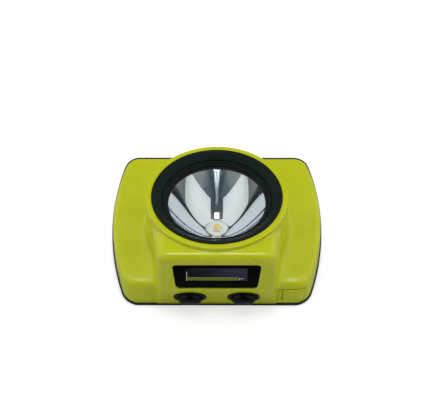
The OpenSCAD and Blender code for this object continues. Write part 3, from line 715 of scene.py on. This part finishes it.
class CAPLAMP_OT_front_shell(bpy.types.Operator):
    """Front shell with its soft hollows, its openings and the port cover cut from the same skin"""
    bl_idname = "caplamp.front_shell"
    bl_label = "Front Shell"

    def execute(self, context):
        sizes = context.scene.cap_lamp_sizes
        shell = outer_solid(sizes)
        point, up = slope(sizes, sizes.parting_near, sizes.parting_far)
        trim(shell, point, -up)
        cover = self.port_cover(copy(shell), sizes)
        for cavity in self.cavities(sizes):
            combine(shell, cavity)
        for opening in self.openings(sizes):
            combine(shell, opening)
        finish_piece(shell, "shell_front", "shell_yellow", replaces=["front_shell"], angle=28)
        finish_piece(cover, "cover_flap", "shell_yellow", "cover", ["port_cover"], angle=28)
        finish_piece(self.hinge_pin(), "cover_pin", "steel", replaces=["port_cover_pin"])
        return {"FINISHED"}

    def cavities(self, sizes):
        """The hollow inside the shell, and the bezel's seat"""
        shelf_z = SEAT_Z - 2 * MM
        head = post(sizes.head_r - sizes.wall, -MM, shelf_z, (0, AXIS_Y), 96)
        trim_undercut(head, sizes, sizes.wall * 1.05)
        front = display_block(sizes, sizes.wall)
        trim(front, (0, 0, shelf_z), (0, 0, 1))
        pocket = block((-17.6 * MM, WINDOW_HIGH.y - 1.3 * MM, shelf_z - MM),
                       (17.6 * MM, WINDOW_HIGH.y + 0.3 * MM, WINDOW_HIGH.z + 0.3 * MM))
        return [wings_under(sizes, -sizes.wall, -MM, sizes.wall), head, front, pocket,
                post(BEZEL_R + 0.1 * MM, SEAT_Z, sizes.head_height + MM, (0, AXIS_Y), 192),
                post(19.9 * MM, SEAT_Z - 3 * MM, sizes.head_height, (0, AXIS_Y), 96)]

    def openings(self, sizes):
        """Window, buttons and charging port"""
        face_y = sizes.near_y - sizes.block_reach
        yield window_pane(face_y - 2 * MM, face_y + 3 * MM, 0.1 * MM, 1.7 * MM)
        for side in (-1, 1):
            yield oval(*BORE, -4 * MM, 2 * MM, side * BUTTON_X, sizes)
            yield oval(*RING, -0.8 * MM, 2 * MM, side * BUTTON_X, sizes)
        gap = 0.1 * MM
        bay = block((HINGE[0] - 0.02 * MM, sizes.near_y - MM, COVER_LOW.z - gap),
                    (COVER_HIGH.x + gap, PIN_HIGH.y + 3 * MM, COVER_TOP + 0.45 * MM))
        yield combine(bay, wings_under(sizes, -1.7 * MM, -MM, 1.7 * MM))
        yield post(KNUCKLE_R + 0.1 * MM, COVER_LOW.z - gap, COVER_TOP + 0.45 * MM, HINGE, 48)
        yield block((SOCKET_LOW.x - 0.1 * MM, sizes.near_y - MM, SOCKET_LOW.z - 0.1 * MM),
                    (SOCKET_HIGH.x + 0.1 * MM, SOCKET_HIGH.y, SOCKET_HIGH.z + 0.1 * MM))

    def port_cover(self, skin, sizes):
        """Flap of the outer skin over the charging port, with its grip lip and its hinge knuckle"""
        bay = block((HINGE[0], sizes.near_y - MM, COVER_LOW.z), (COVER_HIGH.x, PIN_HIGH.y + 3 * MM, COVER_TOP))
        combine(bay, wings_under(sizes, -1.4 * MM, -MM, 1.4 * MM))
        combine(bay, post(KNUCKLE_R, COVER_LOW.z, COVER_TOP, HINGE, 48), "UNION")
        combine(skin, bay, "INTERSECT")
        relief = block((HINGE[0], sizes.near_y - MM, 0),
                       (HINGE[0] + 1.25 * MM, sizes.near_y + 0.85 * MM, sizes.far_height))
        combine(skin, combine(relief, post(KNUCKLE_R, -MM, sizes.far_height + MM, HINGE, 48)))
        lip = wings(sizes, 0.12 * MM, COVER_TOP - 0.75 * MM, COVER_TOP - 0.02 * MM)
        combine(lip, wings(sizes, -1.2 * MM, 0, sizes.far_height))
        combine(lip, block((HINGE[0] + 3.2 * MM, sizes.near_y - MM, 0),
                           (COVER_HIGH.x - 0.4 * MM, PIN_HIGH.y + 2 * MM, sizes.far_height)), "INTERSECT")
        soften(lip, 0.2 * MM, 3, 50)
        combine(skin, lip, "UNION")
        return combine(skin, post(0.56 * MM, COVER_LOW.z - MM, PIN_TOP + 0.1 * MM, HINGE, 32))

    def hinge_pin(self):
        """Steel pin that the flap turns on, ending inside the flap's knuckle"""
        return soften(post((PIN_HIGH.x - PIN_LOW.x) / 2, PIN_LOW.z, PIN_TOP, HINGE, 32), 0.1 * MM, 2)


class CAPLAMP_OT_rear_housing(bpy.types.Operator):
    """Dark rear housing with its proud rim, the clip's recess and the screw holes"""
    bl_idname = "caplamp.rear_housing"
    bl_label = "Rear Housing"

    def execute(self, context):
        sizes = context.scene.cap_lamp_sizes
        point, up = slope(sizes, sizes.parting_near, sizes.parting_far)
        below = (0, point[1], point[2] - 0.8 * MM)
        whole = trim(wings(sizes, 0, 0, sizes.far_height), point, up)
        lip = trim(trim(wings(sizes, sizes.rim_lip, 0, sizes.far_height), point, up), below, -up)
        round_edges(lip, 0.15 * MM, lambda a, b: (a - b).length < 0.08 and self.on_plane(a, b, point, up), 2)
        combine(whole, lip, "UNION")
        hollow = wings_under(sizes, -sizes.wall, 2 * MM, -MM)
        combine(whole, hollow)
        recess = block((-15.8 * MM, -22.5 * MM, 0), (15.8 * MM, sizes.far_y - MM, 6.3 * MM))
        combine(whole, recess, "UNION")
        combine(whole, block((-13.8 * MM, -20.5 * MM, -MM), (13.8 * MM, sizes.far_y + 2 * MM, 4.3 * MM)))
        for x, y in screw_places():
            combine(whole, post(2.7 * MM, 0.5 * MM, 3.6 * MM if y < 0 else 9 * MM, (x, y), 32), "UNION")
            combine(whole, post(2.4 * MM, -MM, 1.4 * MM, (x, y), 48))
            combine(whole, post(SCREW_HOLE_R, -MM, 12 * MM, (x, y), 32))
        soften(whole, 0.12 * MM, 2, 60)
        finish_piece(whole, "housing_rear", "housing_dark", replaces=["rear_housing"])
        return {"FINISHED"}

    @staticmethod
    def on_plane(a, b, point, up):
        return all(abs((p - Vector(point)).dot(up)) < 1e-6 for p in (a, b))


def screw_places():
    """Where the four case screws stand, across and along the back"""
    return [(side * x * MM, y * MM) for side in (-1, 1) for x, y in ((19.6, -25.3), (22.2, 25.3))]


class CAPLAMP_OT_lamp_head(bpy.types.Operator):
    """Bezel, lens and reflector, turned on the lamp's axis"""
    bl_idname = "caplamp.lamp_head"
    bl_label = "Lamp Head"

    def execute(self, context):
        top, low = BEZEL_HIGH.z, LENS_HIGH.z
        inner, shelf_r, flange_r = 18.95 * MM, 20.6 * MM, 22.6 * MM
        rounded = [(0, -0.45), (-0.12, -0.14), (-0.42, 0), (-0.8, -0.02), (-1.15, -0.2)]
        stepped = [(1.95, 1.5), (1.8, 1.38), (1.75, 0.85), (1.3, 0.85), (1.25, 1.1), (0.95, 1.05), (0.6, 0.5),
                   (0.3, 0.45), (0, 0.2), (0, 0)]
        seat = LENS_LOW.z - 0.4 * MM
        bezel = turned([(flange_r, SEAT_Z), (BEZEL_R, SEAT_Z)]
                       + [(BEZEL_R + out * MM, top + up * MM) for out, up in rounded]
                       + [(inner + out * MM, low + up * MM) for out, up in stepped]
                       + [(shelf_r, low), (shelf_r, seat), (flange_r, seat)], 192)
        finish_piece(bezel, "bezel", "bezel_black", replaces=["bezel_ring"], angle=25)
        radius = (LENS_HIGH.x - LENS_LOW.x) / 2
        edge = 0.2 * MM
        lens = turned([(0, LENS_LOW.z), (radius - edge, LENS_LOW.z), (radius, LENS_LOW.z + edge),
                       (radius, low - edge), (radius - edge, low), (0, low)], 160, close=False)
        finish_piece(lens, "lens_disc", "lens_glass", replaces=["lens"])
        self.reflector()
        return {"FINISHED"}

    def reflector(self):
        """Parabolic bowl with its neck round the light source and the flange it sits on"""
        mouth, neck = 18.7 * MM, 4.0 * MM
        top = REFLECTOR_HIGH.z
        bowl = REFLECTOR_LOW.z + 0.9 * MM
        steps = 56

        def curve(k, out):
            r = neck + (mouth - neck) * k / steps
            return (r + out, bowl + (top - bowl) * (r * r - neck * neck) / (mouth * mouth - neck * neck))

        inside = [(neck, REFLECTOR_LOW.z), (neck, bowl - 0.15 * MM)] + [curve(k, 0) for k in range(1, steps + 1)]
        flange = [(mouth + 0.3 * MM, top), (22.4 * MM, top), (22.4 * MM, SEAT_Z), (mouth + MM, SEAT_Z)]
        outside = [curve(k, MM) for k in range(steps - 4, -1, -4)] + [(neck + MM, REFLECTOR_LOW.z)]
        bowl_piece = turned(inside + flange + outside, 224)
        finish_piece(bowl_piece, "reflector_bowl", "reflector_metal",
                     replaces=["reflector"], angle=40)


class CAPLAMP_OT_led(bpy.types.Operator):
    """Light source: ceramic package with its yellow die, under a clear dome"""
    bl_idname = "caplamp.led"
    bl_label = "LED"

    def execute(self, context):
        low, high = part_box("led_base")
        base = round_edges(block(low, high), 0.3 * MM, lambda a, b: abs(a.z - b.z) > 1e-5, 4)
        die_r = 1.05 * MM
        die = block((-die_r, AXIS_Y - die_r, high.z - 0.1 * MM), (die_r, AXIS_Y + die_r, high.z + 0.18 * MM))
        round_edges(die, 0.2 * MM, lambda a, b: abs(a.z - b.z) > 1e-5, 3)
        combine(base, die, "UNION")
        soften(base, 0.06 * MM, 2)
        finish_piece(base, "led_package", "led_ceramic", replaces=["led_base"],
                     material=self.package_material(high.z))
        dome_low, dome_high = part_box("led_dome")
        radius = (dome_high.x - dome_low.x) / 2
        foot = high.z + 0.12 * MM
        arc = [(radius * math.cos(math.radians(a)), foot + (dome_high.z - foot) * math.sin(math.radians(a)))
               for a in range(0, 90, 6)]
        dome = turned([(0, high.z + 0.2 * MM), (radius, high.z + 0.06 * MM)] + arc + [(0, dome_high.z)], 64,
                      close=False)
        finish_piece(dome, "led_lens", "led_silicone", replaces=["led_dome"])
        return {"FINISHED"}

    def package_material(self, top):
        """Pale ceramic with the yellow phosphor on the raised die"""
        material, n, surface, place = new_material("led_package")
        height = n.add("ShaderNodeSeparateXYZ", Vector=place).outputs["Z"]
        raised = n.span(height, top + 0.05 * MM, top + 0.12 * MM)
        speckle = n.noise(place, 5200.0, 2.0, 0.6)
        phosphor = n.blend(n.span(speckle, 0.35, 0.65), (0.80, 0.62, 0.14, 1), (0.9, 0.76, 0.3, 1))
        n.put(surface, "Base Color", n.blend(raised, (0.80, 0.79, 0.72, 1), phosphor))
        n.put(surface, "Roughness", n.span(speckle, 0.2, 0.8, 0.25, 0.4))
        return material


class CAPLAMP_OT_display(bpy.types.Operator):
    """Smoked window with its flange, and the panel behind it"""
    bl_idname = "caplamp.display"
    bl_label = "Display"

    def execute(self, context):
        flange_y = WINDOW_HIGH.y - MM
        pane = window_pane(WINDOW_LOW.y, WINDOW_HIGH.y - 0.5 * MM, 0, 1.6 * MM)
        combine(pane, window_pane(flange_y, WINDOW_HIGH.y, 0.8 * MM, 1.2 * MM), "UNION")
        soften(pane, 0.1 * MM, 2, 50)
        finish_piece(pane, "window_pane", "window_glass", replaces=["display_window"])
        panel = soften(block(PANEL_LOW, PANEL_HIGH), 0.15 * MM, 2)
        finish_piece(panel, "display_panel", "panel_glass", replaces=["oled_panel"])
        return {"FINISHED"}


class CAPLAMP_OT_buttons(bpy.types.Operator):
    """Two glossy rubber buttons in their rings"""
    bl_idname = "caplamp.buttons"
    bl_label = "Buttons"

    def execute(self, context):
        sizes = context.scene.cap_lamp_sizes
        rings = []
        for side, name in ((-1, "left"), (1, "right")):
            x = side * BUTTON_X
            ring = oval(*RING, -0.8 * MM, 0.6 * MM, x, sizes, 0.4 * MM, 4)
            rings.append(combine(ring, oval(*BORE, -2 * MM, 2 * MM, x, sizes)))
            cap = oval(*BUTTON, -2.25 * MM, 2.9 * MM, x, sizes, 2.7 * MM, 18)
            combine(cap, oval(BUTTON[0] + 0.9 * MM, BUTTON[1] + 0.9 * MM, -2.95 * MM, -2.2 * MM, x, sizes), "UNION")
            finish_piece(cap, f"button_cap_{name}", "button_rubber", f"{name}_button", [f"button_{name}"], 50)
        finish_piece(join(*rings), "button_surrounds", "button_rubber", replaces=["button_rings"], angle=50)
        return {"FINISHED"}


class CAPLAMP_OT_clip(bpy.types.Operator):
    """Bent steel clip on the back, and the pan-head screws"""
    bl_idname = "caplamp.clip"
    bl_label = "Clip and Screws"

    def execute(self, context):
        clip = self.strip()
        places = [(side * 8 * MM, -14.1 * MM) for side in (-1, 1)]
        for place in places:
            combine(clip, post(SCREW_HOLE_R, 0, 8 * MM, place, 32))
        finish_piece(clip, "clip_strip", "steel", replaces=["helmet_clip"])
        clip_screws = join(*[self.screw(x, y, 3.3 * MM, 6 * MM) for x, y in places])
        finish_piece(clip_screws, "clip_screw_pair", "steel", replaces=["clip_screws"])
        case_screws = join(*[self.screw(x, y, 1.4 * MM, (8.6 if y < 0 else 14) * MM) for x, y in screw_places()])
        finish_piece(case_screws, "case_screw_set", "steel", replaces=["case_screws"])
        return {"FINISHED"}

    def strip(self):
        """Strip drawn along its side outline, then given its thickness and soft corners"""
        half = 13 * MM
        line = [(-20.0, 3.8), (-9.7, 3.8), (-5.3, 0.5), (23.0, 0.5), (25.95, 1.38)]
        deselect()
        bpy.ops.mesh.primitive_plane_add(size=2 * half, location=(0, line[0][0] * MM, line[0][1] * MM))
        strip = bpy.context.object
        bpy.ops.object.mode_set(mode="EDIT")
        bpy.ops.mesh.select_mode(type="EDGE")
        select_all()
        bpy.ops.transform.resize(value=(1, 0, 1))
        bpy.ops.mesh.remove_doubles(threshold=1e-6)
        for before, after in zip(line, line[1:]):
            bpy.ops.mesh.extrude_edges_move(TRANSFORM_OT_translate={
                "value": (0, (after[0] - before[0]) * MM, (after[1] - before[1]) * MM)})
        bpy.ops.object.mode_set(mode="OBJECT")
        settle(strip)
        bends = [y * MM for y, _ in line[1:-1]]
        round_edges(strip, 1.4 * MM, lambda a, b: abs(a.x - b.x) > half and any(abs(a.y - y) < 1e-5 for y in bends), 6)
        modify(strip, "SOLIDIFY", thickness=MM, offset=0.0)
        ends = (line[0][0] * MM, line[-1][0] * MM)
        round_edges(strip, 2.5 * MM, lambda a, b: abs(a.x - b.x) < 1e-6 and (a - b).length < 1.2 * MM
                    and any(abs((a.y + b.y) / 2 - y) < 0.3 * MM for y in ends), 6)
        return soften(strip, 0.15 * MM, 2, 50)

    def screw(self, x, y, seat, tip):
        """Pan-head screw, head down, with a cross recess"""
        head = round_edges(post(2.3 * MM, seat - 1.4 * MM, seat, (x, y), 48), 0.7 * MM,
                           lambda a, b: max(a.z, b.z) < seat - MM, 5)
        for long, wide in ((1.3, 0.3), (0.3, 1.3)):
            combine(head, block((x - long * MM, y - wide * MM, seat - 3 * MM),
                                (x + long * MM, y + wide * MM, seat - 0.7 * MM)))
        return combine(head, post(1.25 * MM, seat - 0.2 * MM, tip, (x, y), 32), "UNION")


class CAPLAMP_OT_inner_parts(bpy.types.Operator):
    """Finishes for the pieces that keep the model's own form"""
    bl_idname = "caplamp.inner_parts"
    bl_label = "Inner Parts"

    def execute(self, context):
        paint = finishes()
        for part in frame["record"]["subparts"]:
            node = frame["nodes"][part["node"]]
            node.data.materials.clear()
            node.data.materials.append(paint[part["material_slot"]])
        return {"FINISHED"}


class CAPLAMP_OT_studio(bpy.types.Operator):
    """Pale floor, soft lamps, white surroundings and the camera"""
    bl_idname = "caplamp.studio"
    bl_label = "Studio"

    def execute(self, context):
        scene = context.scene
        deselect()
        bpy.ops.mesh.primitive_plane_add(size=6, location=(0, 0, -0.0002))
        floor = bpy.context.object
        floor.name = "floor"
        floor.data.materials.append(self.floor_material(scene.cap_lamp_colours.floor))
        self.lamp("overhead", (0, 0.06, 0.95), (0.18, 0.45), 2.2)
        for name, side in (("left", -1), ("right", 1)):
            self.lamp(name, (side * 0.72, 0.04, 0.76), (1.7, 1.05), 4.5)
        self.world(scene)
        self.camera(scene)
        scene.view_settings.view_transform = "Standard"
        return {"FINISHED"}

    def floor_material(self, rgb):
        """Matt floor, made brighter only where the camera sees it, directly or through glass"""
        material, n, surface, place = new_material("studio_floor")
        n.put(surface, "Base Color", n.blend(n.noise(place, 8.0), rgba(rgb), rgba(rgb, 1.01)))
        surface.inputs["Roughness"].default_value = 0.9
        surface.inputs["Emission Color"].default_value = (1, 1, 1, 1)
        path = n.add("ShaderNodeLightPath").outputs
        seen = n.sum("ADD", path["Is Camera Ray"], path["Is Transmission Ray"], clamp=True)
        n.put(surface, "Emission Strength", n.sum("MULTIPLY", seen, 0.6))
        return material

    def lamp(self, name, place, size, power):
        deselect()
        bpy.ops.object.light_add(type="AREA", location=place)
        lamp = bpy.context.object
        lamp.name = f"lamp_{name}"
        lamp.data.shape = "RECTANGLE"
        lamp.data.size, lamp.data.size_y = size
        lamp.data.energy = power
        aim = Vector((0, 0, 0.015)) - Vector(place)
        lamp.rotation_euler = aim.to_track_quat("-Z", "Y").to_euler()

    def world(self, scene):
        world = bpy.data.worlds.new("studio")
        scene.world = world
        world.use_nodes = True
        n = Nodes(world.node_tree)
        sky = world.node_tree.nodes["Background"]
        toward = n.add("ShaderNodeTexCoord").outputs["Generated"]
        ahead = n.add("ShaderNodeVectorMath", {"operation": "DOT_PRODUCT"}, n0=toward, n1=(0, -0.6, 0.8))
        path = n.add("ShaderNodeLightPath").outputs
        card = n.sum("SUBTRACT", n.span(ahead.outputs["Value"], 0.78, 0.92), path["Is Camera Ray"], clamp=True)
        n.put(sky, "Color", n.blend(card, (1, 1, 1, 1), (0.14, 0.3, 0.38, 1)))
        height = n.add("ShaderNodeSeparateXYZ", Vector=toward).outputs["Z"]
        n.put(sky, "Strength", n.sum("MAXIMUM", n.span(height, 0.05, 0.35, 0.6, 0.17), path["Is Camera Ray"]))

    def camera(self, scene):
        """Camera on the display side, 46.3 degrees above the floor"""
        distance, rise = 0.6, math.radians(46.29)
        target = Vector((0, 0, 17 * MM))
        shift_up, shift_left = 5.64 * MM, 0.71 * MM
        back = Vector((0, -math.cos(rise), math.sin(rise)))
        up = Vector((0, math.sin(rise), math.cos(rise)))
        deselect()
        bpy.ops.object.camera_add(location=target + back * distance)
        camera = bpy.context.object
        camera.name = "camera"
        camera.data.lens, camera.data.sensor_width = 131.2, 36
        aim = target + up * shift_up - Vector((shift_left, 0, 0)) - camera.location
        camera.rotation_euler = aim.to_track_quat("-Z", "Y").to_euler()
        scene.camera = camera


STEPS = [CAPLAMP_OT_inner_parts, CAPLAMP_OT_front_shell, CAPLAMP_OT_rear_housing, CAPLAMP_OT_lamp_head,
         CAPLAMP_OT_led, CAPLAMP_OT_display, CAPLAMP_OT_buttons, CAPLAMP_OT_clip, CAPLAMP_OT_studio]


class CAPLAMP_PT_panel(bpy.types.Panel):
    """Lists the steps that build the lamp, with its sizes and colours"""
    bl_idname = "CAPLAMP_PT_panel"
    bl_label = "Cap Lamp"
    bl_space_type = "VIEW_3D"
    bl_region_type = "UI"
    bl_category = "Cap Lamp"

    def draw(self, context):
        for step in STEPS:
            self.layout.operator(step.bl_idname)
        for group in (context.scene.cap_lamp_sizes, context.scene.cap_lamp_colours):
            for name in group.__annotations__:
                self.layout.prop(group, name)


CLASSES = [CapLampSizes, CapLampColours, *STEPS, CAPLAMP_PT_panel]


def register():
    for cls in CLASSES:
        bpy.utils.register_class(cls)
    bpy.types.Scene.cap_lamp_sizes = bpy.props.PointerProperty(type=CapLampSizes)
    bpy.types.Scene.cap_lamp_colours = bpy.props.PointerProperty(type=CapLampColours)


def unregister():
    del bpy.types.Scene.cap_lamp_sizes
    del bpy.types.Scene.cap_lamp_colours
    for cls in reversed(CLASSES):
        bpy.utils.unregister_class(cls)


def main():
    register()
    for step in STEPS:
        group, name = step.bl_idname.split(".")
        getattr(getattr(bpy.ops, group), name)()


if __name__ == "__main__":
    main()
